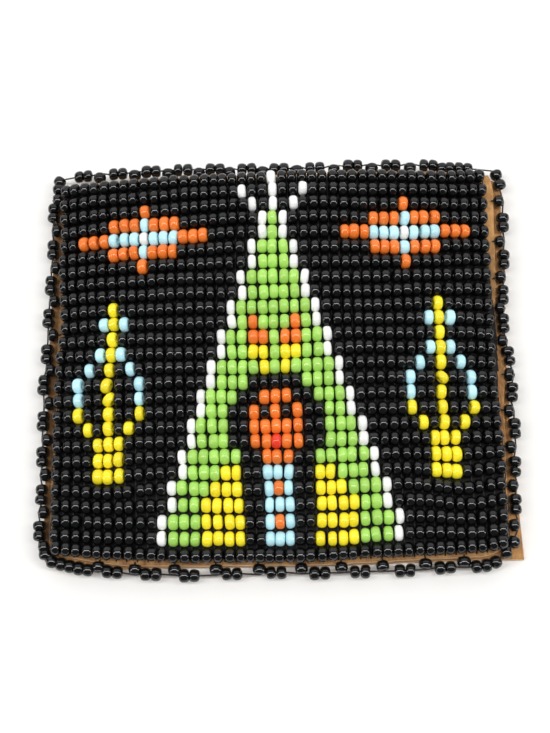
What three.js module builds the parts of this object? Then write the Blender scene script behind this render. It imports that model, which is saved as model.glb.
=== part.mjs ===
import * as THREE from 'three';

// Beaded medicine bag: a leather pouch with a loom-woven bead panel and a beaded edging.
// Millimetres. +X to the right, +Y to the mouth, +Z up out of the beaded face.
// The bag lies on its back.

// Bead panel
const COLUMNS = 43;
const ROWS = 26;
const COLUMN_PITCH = 1.6;
const ROW_PITCH = 2.35;
const BEAD_HEIGHT = 2.0;
const BEAD_CREST = 0.7;
const THREAD_LEVEL = 0.85;
const SEAT_GAP = 0.3;
const FIELD_GAP = 0.24;
const NECK = 0.3;
const UNDER_STEP = 6;

// Leather pouch
const LEATHER = 1.2;
const LEFT_RIM = 0.5;
const RIGHT_RIM_FOOT = 0.2;
const RIGHT_RIM_LIP = 2.1;
const FOOT_RIM = 0.35;
const LIP_RIM = 1.0;
const BULGE = 5.6;
const BULGE_TURN = 0.62;
const BULGE_POWER = 2.5;
const FOOT_CURVE = 0.8;
const LIP_LENGTH = 5.0;
const LIP_DROP = 2.0;
const LIP_EASE = 0.9;
const LIP_CURVE = 0.25;
const LIP_ROUND = 0.7;
const ROUND_REACH = 2.4;
const CORNER_TUCK = 1.6;
const TUCK_REACH = 1.8;
const TUCK_IN = 0.5;
const LEFT_TUCK_FROM = 0.6;
const RIGHT_TUCK_FROM = 0.85;
const BACK_RIM = 1.2;
const BACK_SIDE = 0.9;
const BACK_SHORT = 1.2;
const BACK_CORNER = 2.2;
const BACK_ROUND = 2.5;
const BACK_RISE = 0.3;
const PANEL_STEPS = 8;
const BACK_STEPS = 6;

// Beaded edging
const EDGE_BEAD_LENGTH = 1.5;
const EDGE_BEAD_RADIUS = 1.0;
const EDGE_THREAD = 0.3;
const PAIR_OFFSET = 1.35;
const STAND_OFFSET = 0.95;
const STRING_SIDES = 5;
const LEFT_STITCHES = 10;
const RIGHT_STITCHES = 9;
const FOOT_STITCHES = 11;
const LIP_STITCHES = 12;
const LEFT_PITCH = 5.92;
const RIGHT_PITCH = 5.84;
const LEFT_TURN = 0.2;
const RIGHT_TURN = 0.5;

// Bead colours
const BLACK = 0x17181a;
const WHITE = 0xf6f4ee;
const GREEN = 0x8fd04a;
const ORANGE = 0xf5742c;
const YELLOW = 0xf7d92b;
const BLUE = 0xa9e4f2;
const RED = 0xcf3a22;
const BROWN = 0x8a5c36;

// Half sizes of the bead panel and of the leather, measured along the leather
const beadHalfWidth = COLUMNS * COLUMN_PITCH / 2;
const beadHalfLength = ROWS * ROW_PITCH / 2;
const halfWidth = beadHalfWidth + LEFT_RIM;
const foot = -beadHalfLength - FOOT_RIM;
const lip = beadHalfLength + LIP_RIM;
const seamHeight = 2 * LEATHER + SEAT_GAP;

// Where the front leather ends at the left (-1) and at the right (1)
// The right rim widens to the mouth, where its corner is rounded
function edgeOf(side, t) {
  const up = (t - foot) / (lip - foot);
  const round = LIP_ROUND * Math.max(0, 1 - (lip - t) / ROUND_REACH) ** 2;
  const rim = RIGHT_RIM_FOOT + (RIGHT_RIM_LIP - RIGHT_RIM_FOOT) * up - round;
  return side < 0 ? -halfWidth : beadHalfWidth + rim;
}

// A point over the front leather: s across, t up to the mouth, height above the leather
function onFront(s, t, height) {
  const across = Math.min(1, Math.abs(s / halfWidth));
  const swell = BULGE * Math.sin(Math.PI * BULGE_TURN * (t - foot) / (lip - foot));
  const roll = Math.max(0, t - (lip - LIP_LENGTH)) / LIP_LENGTH;
  const steep = swell * BULGE_POWER / halfWidth;
  const draw = steep ** 2 * across ** (2 * BULGE_POWER - 2) / (4 * BULGE_POWER - 2);
  const tuckFrom = s < 0 ? LEFT_TUCK_FROM : RIGHT_TUCK_FROM;
  const outer = Math.max(0, across - tuckFrom) / (1 - tuckFrom);
  const tuck = CORNER_TUCK * outer ** 2 * Math.exp((foot - t) / TUCK_REACH);
  const x = s * (1 - draw) - Math.sign(s) * TUCK_IN * tuck;
  const rise = FOOT_CURVE * across ** 2 * (lip - t) / (lip - foot);
  const drop = LIP_DROP * (1 - LIP_EASE * across ** 2);
  const lift = LIP_CURVE * across ** 2 * roll ** 2 - 2 / 3 * drop ** 2 * roll ** 3 / LIP_LENGTH;
  const y = t + rise + tuck + lift;
  const z = seamHeight + swell * (1 - across ** BULGE_POWER) - drop * roll ** 2;
  return new THREE.Vector3(x, y, z + height);
}

// A closed body gathered from named points and faces
function newBody() {
  const body = { points: [], faces: [], named: new Map() };
  body.point = (name, make) => {
    if (!body.named.has(name)) {
      body.named.set(name, body.points.length);
      body.points.push(make());
    }
    return body.named.get(name);
  };
  return body;
}

function bodyMesh(name, body, colour, roughness) {
  const geometry = new THREE.BufferGeometry();
  const places = body.points.flatMap((p) => [p.x, p.y, p.z]);
  geometry.setAttribute('position', new THREE.Float32BufferAttribute(places, 3));
  geometry.setIndex(body.faces.flat());
  geometry.computeVertexNormals();
  return finishMesh(name, geometry, colour, roughness);
}

function finishMesh(name, geometry, colour, roughness) {
  const material = new THREE.MeshStandardMaterial({ color: colour, roughness, metalness: 0 });
  const mesh = new THREE.Mesh(geometry, material);
  mesh.name = name;
  return mesh;
}

// The tipi stands on the last row but one; rows inside it are counted up from its foot
const TIPI_TIP = 4;
const tipiFoot = ROWS - 1;

function smokeMark(up, off) {
  const inner = up === 14 ? 2 : 1;
  const outer = up === 11 ? 1 : 2;
  return up >= 11 && up <= 14 && off >= inner && off <= outer;
}

function doorway(up, off, side) {
  const headReach = up === 9 || up === 5 ? 1 : 2;
  if (up >= 5 && up <= 9 && off <= headReach) {
    if (up === 8 && off === 1) return `eye_${side}`;
    return up === 6 && off === 0 ? 'mouth_bead' : 'face_beads';
  }
  if (up < 5 && off <= 1) {
    if (up === 3 && off === 0) return 'shirt_button_upper';
    if (up === 1 && off === 0) return 'shirt_button_lower';
    return 'shirt_beads';
  }
  return 'ground_beads';
}

function tipi(row, off, side) {
  const edge = Math.floor((row - TIPI_TIP) / 2) + 1;
  const up = tipiFoot - row;
  if (off > edge) return null;
  if (off === edge) return 'tipi_outline_beads';
  if (smokeMark(up, off)) return `smoke_mark_${up > 12 ? 'orange' : 'yellow'}_${side}`;
  const doorReach = up > 5 ? Math.min(12 - up, 4) : 3;
  if (up <= 10 && off <= doorReach) return doorway(up, off, side);
  if (up < 5 && off <= Math.min(9 - up, 7)) return `door_flap_${side}`;
  return 'tipi_cover_beads';
}

// Three lodge poles cross above the tip
function pole(row, off) {
  return off === 0 || (row > 1 && off === 5 - row);
}

// A star of five rows round row 5, thirteen columns from the middle
function star(row, off, side) {
  const rise = Math.abs(row - 5);
  const away = Math.abs(off - 13);
  if (rise > 2 || away > 6 - 3 * rise) return null;
  if (rise === 0 && away === 0) return `star_${side}_centre`;
  return away <= 3 - 3 * rise ? `star_${side}_core` : `star_${side}_rim`;
}

// A plant of twelve rows from row 10, sixteen columns from the middle
function plant(row, off, side) {
  const away = Math.abs(off - 16);
  const way = off < 16 ? 'inner' : 'outer';
  const arm = Math.min(row - 12, 3, 20 - row);
  if (row < 10 || row > 21 || away > 3) return null;
  if (away === 0) return `plant_${side}_stalk`;
  if (row === 11 && away === 1) return `plant_${side}_bud_${way}`;
  if (row > 18 && away === 1) return `plant_${side}_stalk`;
  if (away === arm) return row < 17 ? `plant_${side}_leaf_${way}` : `plant_${side}_stalk`;
  return away < arm ? `plant_${side}_hollow_${way}` : null;
}

// The field of the bead in a row, counted from the mouth, and a column, counted from the middle
function fieldAt(row, column) {
  const off = Math.abs(column);
  const side = column < 0 ? 'left' : 'right';
  if (row < 1 || row > ROWS || off > (COLUMNS - 1) / 2) return null;
  if (row < TIPI_TIP && pole(row, off)) return 'tipi_outline_beads';
  const inTipi = row >= TIPI_TIP && row <= tipiFoot ? tipi(row, off, side) : null;
  return inTipi ?? star(row, off, side) ?? plant(row, off, side) ?? 'ground_beads';
}

// The colour of a field, by the words in its name
const FIELD_COLOURS = [
  [/outline|centre/, WHITE],
  [/cover/, GREEN],
  [/orange|rim|face|button/, ORANGE],
  [/yellow|flap|stalk/, YELLOW],
  [/core|shirt|bud|leaf/, BLUE],
  [/mouth/, RED],
  [/ground|eye|hollow/, BLACK],
];

// The beads of each field
const fields = new Map();
for (let row = 1; row <= ROWS; row += 1) {
  for (let index = 0; index < COLUMNS; index += 1) {
    const column = index - (COLUMNS - 1) / 2;
    const name = fieldAt(row, column);
    if (!fields.has(name)) fields.set(name, []);
    fields.get(name).push({ row, column });
  }
}

// The four corners of a bead's cell, anticlockwise from the lower left
const CORNERS = [[-1, -1], [1, -1], [1, 1], [-1, 1]];

const middleOf = (bead) => [bead.column * COLUMN_PITCH, beadHalfLength - (bead.row - 0.5) * ROW_PITCH];

// What meets at one corner of a bead's cell
function cornerOf(bead, [sx, sy]) {
  const field = fieldAt(bead.row, bead.column);
  const beside = fieldAt(bead.row, bead.column + sx);
  const above = fieldAt(bead.row - sy, bead.column);
  const across = fieldAt(bead.row - sy, bead.column + sx);
  const [s, t] = middleOf(bead);
  const corner = { s: s + sx * COLUMN_PITCH / 2, t: t + sy * ROW_PITCH / 2 };
  const same = [beside, above, across].map((other) => other === field);
  corner.inside = same.every(Boolean);
  corner.bridged = same[2] && !same[0] && !same[1] && field !== 'ground_beads';
  const crossed = !same[0] && !same[1] && beside === above;
  corner.passed = crossed && beside !== 'ground_beads' && beside !== null;
  corner.pull = [
    Math.sign(-sx + (same[0] ? sx : 0) + (same[1] ? -sx : 0) + (same[2] ? sx : 0)),
    Math.sign(-sy + (same[0] ? -sy : 0) + (same[1] ? sy : 0) + (same[2] ? sy : 0)),
  ];
  if (!same[0] && !same[1]) corner.pull = [-sx, -sy];
  corner.name = `${Math.round(corner.s / COLUMN_PITCH * 2)},${Math.round(corner.t / ROW_PITCH * 2)}`;
  return corner;
}

// The points of one corner, on the upper face and on the under face
function cornerPoints(body, bead, [sx, sy]) {
  const corner = cornerOf(bead, [sx, sy]);
  const { s, t, name } = corner;
  if (corner.inside) {
    const top = body.point(`top ${name}`, () => onFront(s, t, THREAD_LEVEL + SEAT_GAP));
    const kept = Math.round(s / COLUMN_PITCH + COLUMNS / 2) % UNDER_STEP === 0;
    const under = kept ? [body.point(`under ${name}`, () => onFront(s, t, SEAT_GAP))] : [];
    return { top: [top], under, rim: false };
  }
  const seat = (label, ds, dt) => body.point(
    `${label} ${name}`,
    () => onFront(s + ds, t + dt, SEAT_GAP),
  );
  if (corner.bridged) {
    const beside = seat(`neck ${sx} ${-sy}`, sx * NECK / 2, -sy * NECK / 2);
    const above = seat(`neck ${-sx} ${sy}`, -sx * NECK / 2, sy * NECK / 2);
    const link = body.point(`link ${name}`, () => onFront(s, t, THREAD_LEVEL + SEAT_GAP));
    const under = sx * sy > 0 ? [beside, above] : [above, beside];
    return { top: [under[0], link, under[1]], under, rim: true };
  }
  const inset = corner.passed ? NECK / 2 + FIELD_GAP : FIELD_GAP / 2;
  const [ps, pt] = corner.pull;
  const point = seat(`rim ${ps} ${pt}`, ps * inset, pt * inset);
  return { top: [point], under: [point], rim: true };
}

// One bead of a field: a hipped crest over its cell, joined to the beads of its own colour
function addBead(body, bead) {
  const [s, t] = middleOf(bead);
  const corners = CORNERS.map((corner) => cornerPoints(body, bead, corner));
  const field = fieldAt(bead.row, bead.column);
  const ring = [];
  corners.forEach((corner, k) => {
    const next = corners[(k + 1) % 4];
    const [ds, dt] = [[0, -1], [1, 0], [0, 1], [-1, 0]][k];
    ring.push(...corner.top);
    const joined = fieldAt(bead.row - dt, bead.column + ds) === field;
    if (joined && corner.rim && next.rim) {
      const [ls, lt] = [s + ds * COLUMN_PITCH / 2, t + dt * ROW_PITCH / 2];
      const name = `link ${Math.round(ls / COLUMN_PITCH * 2)},${Math.round(lt / ROW_PITCH * 2)}`;
      ring.push(body.point(name, () => onFront(ls, lt, THREAD_LEVEL + SEAT_GAP)));
    }
  });
  const crest = [-1, 1].map((way) => body.point(
    `crest ${way} ${bead.row} ${bead.column}`,
    () => onFront(s + way * BEAD_CREST / 2, t, BEAD_HEIGHT + SEAT_GAP),
  ));
  const middle = onFront(s, t, 0);
  const nearest = ring.map((point, k) => {
    const next = body.points[ring[(k + 1) % ring.length]];
    const edge = body.points[point].clone().lerp(next, 0.5);
    const level = Math.abs(edge.x - middle.x) < COLUMN_PITCH / 8;
    const right = level ? edge.y < middle.y : edge.x > middle.x;
    return crest[right ? 1 : 0];
  });
  ring.forEach((point, k) => {
    const before = nearest[(k + ring.length - 1) % ring.length];
    body.faces.push([point, ring[(k + 1) % ring.length], nearest[k]]);
    if (before !== nearest[k]) body.faces.push([point, nearest[k], before]);
  });
}

// The flat under face of a run of beads in one row
function addUnder(body, run) {
  const [lowerLeft, lowerRight, upperRight, upperLeft] = CORNERS.map(
    (corner) => (bead) => cornerPoints(body, bead, corner).under,
  );
  const lower = [...lowerLeft(run[0]), ...run.flatMap(lowerRight)];
  const upper = [...upperLeft(run[0]).reverse(), ...run.flatMap((bead) => upperRight(bead).reverse())];
  const place = (chain, k) => (k < chain.length ? body.points[chain[k]].x : Infinity);
  let [i, j] = [0, 0];
  while (i < lower.length - 1 || j < upper.length - 1) {
    const low = place(lower, i + 1) <= place(upper, j + 1);
    body.faces.push([lower[i], upper[j], low ? lower[i + 1] : upper[j + 1]]);
    i += low ? 1 : 0;
    j += low ? 0 : 1;
  }
}

function beadField(name, beads) {
  const body = newBody();
  beads.forEach((bead) => addBead(body, bead));
  let start = 0;
  beads.forEach((bead, k) => {
    const next = beads[k + 1];
    if (next && next.row === bead.row && next.column === bead.column + 1) return;
    addUnder(body, beads.slice(start, k + 1));
    start = k + 1;
  });
  const [, colour] = FIELD_COLOURS.find(([words]) => words.test(name));
  return bodyMesh(name, body, colour, 0.25);
}

// The front leather: a domed sheet from the foot seam to the rolled lip
function frontPanel() {
  const body = newBody();
  const across = [];
  const wide = beadHalfWidth + halfWidth;
  for (let k = 0; k <= PANEL_STEPS; k += 1) across.push(wide * k / PANEL_STEPS - halfWidth);
  const placeOf = (i, j) => (i < across.length ? across[i] : edgeOf(1, along[j]));
  const along = [];
  const flat = lip - LIP_LENGTH - foot;
  for (let k = 0; k < PANEL_STEPS; k += 1) along.push(foot + flat * k / (PANEL_STEPS - 1));
  along.push(lip - LIP_LENGTH / 2, lip);
  const at = (i, j, side) => body.point(
    `${i} ${j} ${side}`,
    () => onFront(placeOf(i, j), along[j], -side * LEATHER),
  );
  const quad = (a, b, c, d) => body.faces.push([a, b, c], [a, c, d]);
  const [lastI, lastJ] = [across.length, along.length - 1];
  for (let i = 0; i < lastI; i += 1) {
    for (let j = 0; j < lastJ; j += 1) {
      quad(at(i, j, 0), at(i + 1, j, 0), at(i + 1, j + 1, 0), at(i, j + 1, 0));
      quad(at(i, j, 1), at(i, j + 1, 1), at(i + 1, j + 1, 1), at(i + 1, j, 1));
    }
    quad(at(i, 0, 1), at(i + 1, 0, 1), at(i + 1, 0, 0), at(i, 0, 0));
    quad(at(i + 1, lastJ, 1), at(i, lastJ, 1), at(i, lastJ, 0), at(i + 1, lastJ, 0));
  }
  for (let j = 0; j < lastJ; j += 1) {
    quad(at(0, j + 1, 1), at(0, j, 1), at(0, j, 0), at(0, j + 1, 0));
    quad(at(lastI, j, 1), at(lastI, j + 1, 1), at(lastI, j + 1, 0), at(lastI, j, 0));
  }
  return bodyMesh('front_panel', body, BROWN, 0.9);
}

// The back leather: flat, ending a little short of the lip
// It is rounded at the lower left and the upper right, and cut wide at the lower right
function backPanel() {
  const left = edgeOf(-1, foot) - BACK_RIM;
  const right = edgeOf(1, foot) + BACK_CORNER;
  const upper = edgeOf(1, lip - ROUND_REACH) + BACK_SIDE;
  const mouth = lip - BACK_SHORT;
  const outline = new THREE.Shape();
  outline.moveTo(left, mouth);
  outline.lineTo(left, foot + BACK_ROUND);
  outline.quadraticCurveTo(left, foot, left + 2 * BACK_ROUND, foot);
  outline.lineTo(right, foot + BACK_RISE);
  outline.lineTo(upper, mouth - BACK_ROUND);
  outline.quadraticCurveTo(upper, mouth, upper - BACK_ROUND, mouth);
  outline.closePath();
  const cut = { depth: LEATHER, bevelEnabled: false, curveSegments: BACK_STEPS };
  const geometry = new THREE.ExtrudeGeometry(outline, cut);
  return finishMesh('back_panel', geometry, BROWN, 0.9);
}

// The middles of the pairs of an edging string, evenly spread over a length
function pairMiddles(stitches, length) {
  const middles = [];
  for (let k = 0; k < stitches; k += 1) middles.push(((k + 0.5) / stitches - 0.5) * length);
  return middles;
}

// The stations of an edging string: two beads side by side, then one standing, on one thread
function edgingStations(middles) {
  const pair = { out: PAIR_OFFSET, wide: EDGE_BEAD_RADIUS, high: EDGE_BEAD_RADIUS };
  const stand = { out: STAND_OFFSET, wide: EDGE_BEAD_LENGTH / 2, high: EDGE_BEAD_RADIUS };
  const thread = { out: PAIR_OFFSET, wide: EDGE_THREAD, high: EDGE_THREAD };
  const stations = [];
  middles.forEach((middle, k) => {
    stations.push({ along: middle - EDGE_BEAD_LENGTH, ...thread });
    stations.push({ along: middle - EDGE_BEAD_LENGTH / 2, ...pair });
    stations.push({ along: middle, ...thread });
    stations.push({ along: middle + EDGE_BEAD_LENGTH / 2, ...pair });
    stations.push({ along: middle + EDGE_BEAD_LENGTH, ...thread });
    if (k < middles.length - 1) stations.push({ along: (middle + middles[k + 1]) / 2, ...stand });
  });
  return stations;
}

// A string of beads swept through its stations
function edging(name, stations, edgeAt) {
  const body = newBody();
  const rings = stations.map((station, n) => {
    const { place: seat, outward } = edgeAt(station.along);
    const centre = seat.addScaledVector(outward, station.out);
    const ring = [];
    for (let k = 0; k < STRING_SIDES; k += 1) {
      const turn = 2 * Math.PI * (k + 0.5) / STRING_SIDES;
      const place = centre.clone().addScaledVector(outward, station.wide * Math.cos(turn));
      place.z += station.high * Math.sin(turn);
      ring.push(body.point(`${n} ${k}`, () => place));
    }
    return ring;
  });
  rings.slice(1).forEach((ring, n) => ring.forEach((point, k) => {
    const next = (k + 1) % STRING_SIDES;
    body.faces.push([rings[n][k], rings[n][next], ring[next]], [rings[n][k], ring[next], point]);
  }));
  const [first, last] = [rings[0], rings[rings.length - 1]];
  for (let k = 2; k < STRING_SIDES; k += 1) {
    body.faces.push([first[0], first[k], first[k - 1]], [last[0], last[k - 1], last[k]]);
  }
  return bodyMesh(name, body, BLACK, 0.25);
}

// The side strings turn round the corners of the leather; the foot and lip strings end short of them
const LEFT = new THREE.Vector3(-1, 0, 0);
const RIGHT = new THREE.Vector3(1, 0, 0);
const DOWN = new THREE.Vector3(0, -1, 0);
const UP = new THREE.Vector3(0, 1, 0);
const edgeLift = EDGE_BEAD_RADIUS + SEAT_GAP + LEATHER - seamHeight;
const sideReach = (lip - foot) / 2;
const sideMiddle = (foot + lip) / 2;
const footCorner = sideReach + PAIR_OFFSET * Math.PI / 4;
const footLength = 2 * halfWidth - EDGE_BEAD_LENGTH;
const leftPairs = pairMiddles(LEFT_STITCHES, LEFT_STITCHES * LEFT_PITCH);
const rightPairs = pairMiddles(RIGHT_STITCHES, RIGHT_STITCHES * RIGHT_PITCH);
const leftMiddles = [-footCorner, ...leftPairs, sideReach - LEFT_TURN];
const rightMiddles = [RIGHT_TURN - sideReach, ...rightPairs, footCorner];

function onSide(side) {
  return (along) => {
    const over = Math.max(0, Math.abs(along) - sideReach);
    const t = sideMiddle - side * Math.sign(along) * (Math.abs(along) - over);
    const place = onFront(edgeOf(side, t), t, 0).setZ(seamHeight + edgeLift);
    const turn = over / PAIR_OFFSET;
    const ahead = side * along > 0 ? DOWN : UP;
    const outward = (side < 0 ? LEFT : RIGHT).clone().multiplyScalar(Math.cos(turn));
    return { place, outward: outward.addScaledVector(ahead, Math.sin(turn)) };
  };
}

const onFoot = (along) => ({ place: onFront(-along, foot, edgeLift), outward: DOWN });
const onLip = (along) => ({ place: onFront(along, lip, -LEATHER / 2), outward: UP });

const bag = new THREE.Group();
bag.name = 'beaded_medicine_bag';
bag.add(frontPanel(), backPanel());
fields.forEach((beads, name) => bag.add(beadField(name, beads)));
bag.add(edging('edging_left', edgingStations(leftMiddles), onSide(-1)));
bag.add(edging('edging_right', edgingStations(rightMiddles), onSide(1)));
bag.add(edging('edging_bottom', edgingStations(pairMiddles(FOOT_STITCHES, footLength)), onFoot));
bag.add(edging('edging_top', edgingStations(pairMiddles(LIP_STITCHES, footLength)), onLip));

// The middle of the bag's box is over the origin
const middle = new THREE.Box3().setFromObject(bag).getCenter(new THREE.Vector3());
bag.position.set(-middle.x, -middle.y, 0);

export default bag;
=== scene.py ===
"""Looks of the beaded medicine bag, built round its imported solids.

Lengths are in millimetres, turned to metres where a mesh is made. +X to the right, +Y to the mouth, +Z up.
"""

import math
import re

import bpy
import numpy as np
from mathutils import Matrix, Vector


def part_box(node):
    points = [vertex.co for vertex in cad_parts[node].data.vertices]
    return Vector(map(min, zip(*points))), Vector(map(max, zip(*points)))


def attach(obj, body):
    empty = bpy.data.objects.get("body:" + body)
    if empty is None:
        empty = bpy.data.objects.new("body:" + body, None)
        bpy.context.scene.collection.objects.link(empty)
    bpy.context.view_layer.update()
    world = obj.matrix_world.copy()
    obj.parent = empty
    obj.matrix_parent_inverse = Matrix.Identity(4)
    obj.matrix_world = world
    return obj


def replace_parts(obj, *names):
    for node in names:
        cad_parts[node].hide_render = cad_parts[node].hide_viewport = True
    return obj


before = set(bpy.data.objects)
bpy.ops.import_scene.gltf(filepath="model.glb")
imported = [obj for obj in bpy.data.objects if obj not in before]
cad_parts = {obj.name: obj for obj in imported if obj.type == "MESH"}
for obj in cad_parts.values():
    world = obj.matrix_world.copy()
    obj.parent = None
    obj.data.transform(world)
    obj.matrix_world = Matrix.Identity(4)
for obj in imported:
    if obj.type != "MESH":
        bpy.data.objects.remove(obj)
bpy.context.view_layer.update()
draw = np.random.default_rng(11)
MM = 0.001

# Bead panel
COLUMNS = 43
ROWS = 26
COLUMN_PITCH = 1.6
ROW_PITCH = 2.35
SEAT_GAP = 0.3
BEAD_RADIUS = 1.17
BLACK_RADIUS = 1.13
BEAD_LENGTHS = {
    "black": 1.45,
    "white": 1.32,
    "green": 1.48,
    "orange": 1.5,
    "yellow": 1.47,
    "blue": 1.4,
    "red": 1.5,
}

# Bare leather beside the panel at the left, kept free of painted shade, and a strip of painted shade past
# the panel at the right: width, row and reach in rows
BARE_LEATHER = 0.75
BARE_ROW = 10.5
BARE_ROWS = 2
RIGHT_SHADE = 0.95
SHADE_ROW = 11
SHADE_ROWS = 6

# Drifts of handwork in the panel: millimetres moved, round which place across and row, and how far each way
COLUMN_DRIFTS = {
    "upper left": (0.6, -21, 4, 9, 10),
    "left plant's top": (0.4, -25, 11, 6, 2),
    "bare leather at left": (BARE_LEATHER, -35, BARE_ROW, 8, BARE_ROWS),
    "right plant": (-0.6, 26, 15.5, 9, 4),
    "right edge": (-0.35, 36, 12, 6, 5),
    "left door flap": (0.6, -7, 25, 7, 5),
    "right star": (-0.5, 21, 4, 9, 6),
    "between left star and poles": (0.5, -12, 2.5, 6, 3),
    "tipi's upper left": (-0.35, -6.5, 6.5, 4, 2),
    "left star's arm": (0.25, -25, 5, 6, 3),
    "left of tipi": (-0.27, -12, 12, 8, 4),
    "tipi's right foot": (0.45, 18, 23.5, 7, 4),
    "foot at left": (0.28, -14, 25.5, 18, 2.5),
    "tipi's left side": (-0.2, -6, 18, 9, 3),
    "above right plant": (-0.22, 24, 9, 9, 2.5),
    "right plant's base": (-0.28, 28, 21, 5, 2),
    "inside right plant's base": (-0.2, 24.5, 21.5, 4, 1.5),
}
ROW_DRIFTS = {
    "upper right corner": (1.1, 34.4, 1, 6, 6.6),
    "tipi's middle": (-0.45, 0, 14, 7, 2.5),
    "right of left star": (-0.22, -16, 4.5, 7, 3),
    "below right star": (-0.27, 16, 8.5, 7, 2),
    "right plant's base": (-0.75, 28, 22.5, 5, 3),
    "right plant's leaves": (0.2, 28, 14.5, 6, 2.5),
    "below left plant": (-0.35, -26, 23, 4, 2.5),
    "left foot corner": (0.33, -28, 26, 14, 1.2),
    "right foot corner": (0.33, 28, 26, 14, 1.2),
    "left of doorway": (-0.38, -5, 17, 8, 2.5),
    "right star's arm": (0.25, 25, 3, 4, 3),
    "left plant's base": (-0.2, -23, 21, 5, 2),
    "middle of foot": (-0.25, 4, 26, 14, 1.5),
    "tipi's top": (0.15, 4, 5.5, 8, 2),
    "right door flap's foot": (-0.5, 8.8, 24.8, 4, 1.0),
}
# Sag of the rows in the middle of the panel, and their crowding at the lip
ROW_SAG = 0.42
SAG_REACH = 26
SAG_POWER = 6
LIP_CROWDING = 0.75
# Slow waves of the rows: height, turn by millimetre across, turn by row, and where the turn starts
ROW_WAVES = [(0.13, 0.13, 0.5, 0), (0.07, 0.37, -0.9, 2)]
# Beads that have turned on their thread: row and column, with the slide across and the swing
TURNED_BEADS = {(15, -16): (-0.5, -0.35), (16, -16): (0.05, -0.7), (15, 16): (0.25, 0.75)}

# Spread of handwork: in millimetres for places, in radians for turns, and as a share for sizes
ROW_SPREAD = 0.05
COLUMN_SPREAD = 0.04
LEVEL_SPREAD = 0.03
LENGTH_SPREAD = 0.04
RADIUS_SPREAD = 0.02
OVAL_SPREAD = 0.02
TAPER_SPREAD = 0.05
SWING_SPREAD = 0.05
LEAN_SPREAD = 0.03

# Threads of the loom
WARP_RADIUS = 0.11
WARP_DEPTH = 0.75
WARP_END = 0.1
WARP_SUNK = 0.05
WEFT_RADIUS = 0.1
WEFT_INSET = 0.15
WEFT_BEND = 0.35
WEFT_STEPS = 7

# Leather pouch
LEATHER = 1.2
LEFT_RIM = 0.5
RIGHT_RIM_FOOT = 0.2
RIGHT_RIM_LIP = 2.1
# Swellings of the right edge: by how much, at what share of the length, and how far each way
RIGHT_WOBBLES = [(0.5, 0.455, 0.06), (-0.5, 0.59, 0.1)]
FOOT_RIM = 0.35
LIP_RIM = 1.0
LEFT_TRIM = 0.8
RIGHT_TRIM = 0.3
BULGE = 5.6
BULGE_TURN = 0.62
BULGE_POWER = 2.5
FOOT_CURVE = 0.8
LIP_LENGTH = 5.0
LIP_DROP = 2.0
LIP_EASE = 0.9
LIP_CURVE = 0.25
LIP_ROUND = 0.7
ROUND_REACH = 2.4
CORNER_TUCK = 1.6
TUCK_REACH = 1.8
TUCK_IN = 0.5
LEFT_TUCK_FROM = 0.6
RIGHT_TUCK_FROM = 0.85
BACK_RIM = 1.2
BACK_SIDE = 0.9
BACK_SHORT = 1.2
BACK_CORNER = 2.2
BACK_ROUND = 2.5
BACK_RISE = 0.3
BACK_SLANT = 0.9
BACK_TURN = 1.5
BACK_BOW = 0.8
SEAM_THICKER = 0.2
SEAM_REACH = 2.5
SEWN_LIFT = 0.34
LIFT_REACH = 4.0
FRONT_SUNK = 0.02
BACK_SUNK = 0.04
FRONT_EDGE_ROUND = 0.12
BACK_EDGE_ROUND = 0.1
EDGE_SHARES = (0.25, 0.5, 0.75)
# Points of the leather's grids, finer at the lip, which starts at a share of the length
FRONT_ACROSS = 93
FRONT_ALONG = 70
FRONT_END = 0.94
LIP_START = 0.945
LIP_ALONG = 12
BACK_ACROSS = 76
BACK_ALONG = 71
CORNER_POINTS = 12
# Slow turns of hand-cut leather, by millimetre each way
WAVER_TURNS = [(0.13, 0.09), (0.23, -0.17), (-0.31, 0.27), (0.53, 0.41), (0.77, -0.61)]

# Beaded edging
EDGE_BEAD_LENGTH = 1.5
EDGE_BEAD_RADIUS = 1.02
BEAD_SPACING = 1.59
PAIR_OFFSET = 1.35
CORNER_OFFSET = 1.0
STAND_OFFSET = 0.78
FOOT_STAND_OFFSET = 0.62
LEFT_STAND_OFFSET = 1.0
LEFT_STITCHES = 10
RIGHT_STITCHES = 9
FOOT_STITCHES = 11
LIP_STITCHES = 12
LEFT_PITCH = 5.92
RIGHT_PITCH = 5.84
LEFT_TURN = 0.1
RIGHT_TURN = 1.1
# Pairs that have slipped along their thread: by how much at most, round which place, and how far each way
TOP_SLIP = (-1.9, 6, 13)
FOOT_SLIP = (1.0, 9, 16)
LEFT_SLIP = (-0.9, 13, 17)
RIGHT_SLIP = (1.4, -15, 8)
LEFT_SLACK = (0.6, 2, 26)
THREAD_RADIUS = 0.13
STAND_LIFT = 0.12
THREAD_TURN = 0.55
# Groups at the corners: shift along the edge, and where they differ, count, spacing and offset of beads
TOP_START = -0.45
TOP_END = -0.65
TOP_END_COUNT = 3
RIGHT_END = 0.35
RIGHT_END_SPACING = 3.1
RIGHT_END_OFFSET = 0.75
FOOT_START = -0.1
FOOT_START_COUNT = 3
FOOT_END = 0.55
FOOT_END_COUNT = 4
# A stitch over the leather and one under it: how far out from the leather's edge, and how far up
STITCH_OVER = [(0.9, 0.1), (0.2, 0.15), (-0.05, 0.42), (-0.3, 0.38), (-0.5, -0.2)]
STITCH_UNDER = [(0.35, 0.0), (0.58, -1.2), (0.5, -2.2), (0.1, -2.36), (-0.6, -2.36), (-1.0, -2.0)]
STITCH_MIDDLE = 0.25
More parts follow.
